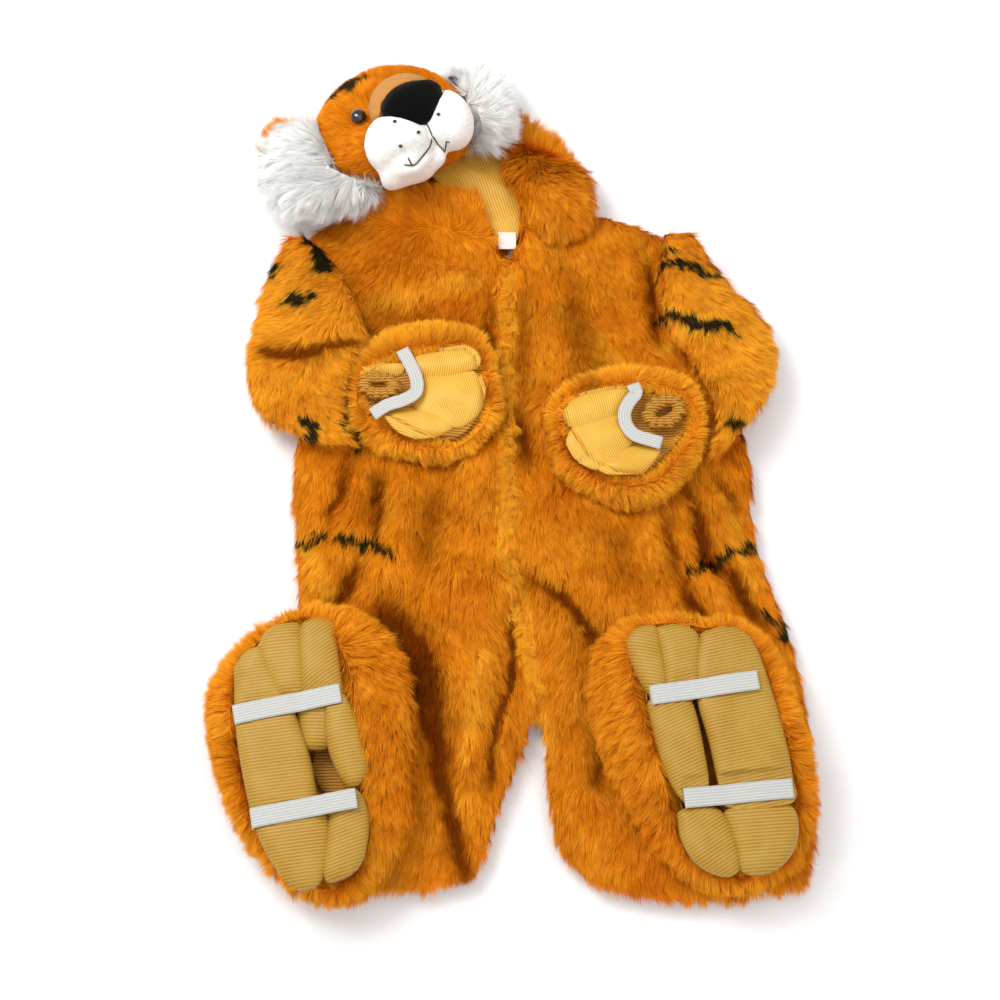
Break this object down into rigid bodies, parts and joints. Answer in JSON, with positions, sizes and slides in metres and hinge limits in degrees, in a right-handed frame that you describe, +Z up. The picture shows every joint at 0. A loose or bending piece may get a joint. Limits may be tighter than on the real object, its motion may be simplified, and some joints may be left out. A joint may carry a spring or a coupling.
{
  "type": "child's plush tiger costume",
  "caption": "One-piece plush animal costume laid flat, with head hood, folded sleeves, padded mitts and foot covers turned lining side up with elastics",
  "frame": {"origin": "on the surface the costume lies on, under the right back panel beside the centre back seam", "axes": "+Y towards the head along the body, +X towards the wearer's left side, +Z up out of the lying costume"},
  "size_m": [0.5842, 0.8968, 0.125],
  "materials": {
    "black_velour": "short black velour",
    "elastic_webbing": "woven white elastic",
    "eye_plastic": "glossy black",
    "label_ribbon": "smooth white ribbon",
    "plush_fur": "shaggy orange plush with golden tips and dark frayed stripes",
    "ribbed_lining": "golden ribbed lining, soft sheen",
    "ruff_fur": "long white fur",
    "tan_plush": "short tan plush",
    "white_plush": "short white plush",
    "zip_tape": "plain woven tape"
  },
  "bodies": {
    "root": {"back_left": "plush_fur", "back_right": "plush_fur", "ear_right": "ruff_fur", "eye_left": "eye_plastic", "eye_right": "eye_plastic", "foot_left_elastic_heel": "elastic_webbing", "foot_left_elastic_toe": "elastic_webbing", "foot_left_fur": "plush_fur", "foot_left_heel_inner": "ribbed_lining", "foot_left_heel_outer": "ribbed_lining", "foot_left_lining": "ribbed_lining", "foot_left_side_inner": "ribbed_lining", "foot_left_side_outer": "ribbed_lining", "foot_left_toe_inner": "ribbed_lining", "foot_left_toe_outer": "ribbed_lining", "foot_right_elastic_heel": "elastic_webbing", "foot_right_elastic_toe": "elastic_webbing", "foot_right_fur": "plush_fur", "foot_right_lining": "ribbed_lining", "foot_right_side_inner": "ribbed_lining", "foot_right_side_outer": "ribbed_lining", "foot_right_toe_inner": "ribbed_lining", "foot_right_toe_outer": "ribbed_lining", "front_left": "plush_fur", "front_right": "plush_fur", "front_zip": "zip_tape", "head_shell": "plush_fur", "hood_back": "plush_fur", "hood_lining": "ribbed_lining", "hood_side_left": "plush_fur", "mitt_left_cuff": "ribbed_lining", "mitt_left_elastic": "elastic_webbing", "mitt_left_fur": "plush_fur", "mitt_left_lining": "ribbed_lining", "mitt_right_cuff": "ribbed_lining", "mitt_right_elastic": "elastic_webbing", "mitt_right_fur": "plush_fur", "mitt_right_lining": "ribbed_lining", "muzzle": "white_plush", "neck_label": "label_ribbon", "nose": "black_velour", "nose_bridge": "tan_plush", "ruff_left": "ruff_fur", "ruff_right": "ruff_fur", "sleeve_left_over": "plush_fur", "sleeve_left_under": "plush_fur", "sleeve_right_over": "plush_fur", "sleeve_right_under": "plush_fur"}
  },
  "joints": []
}
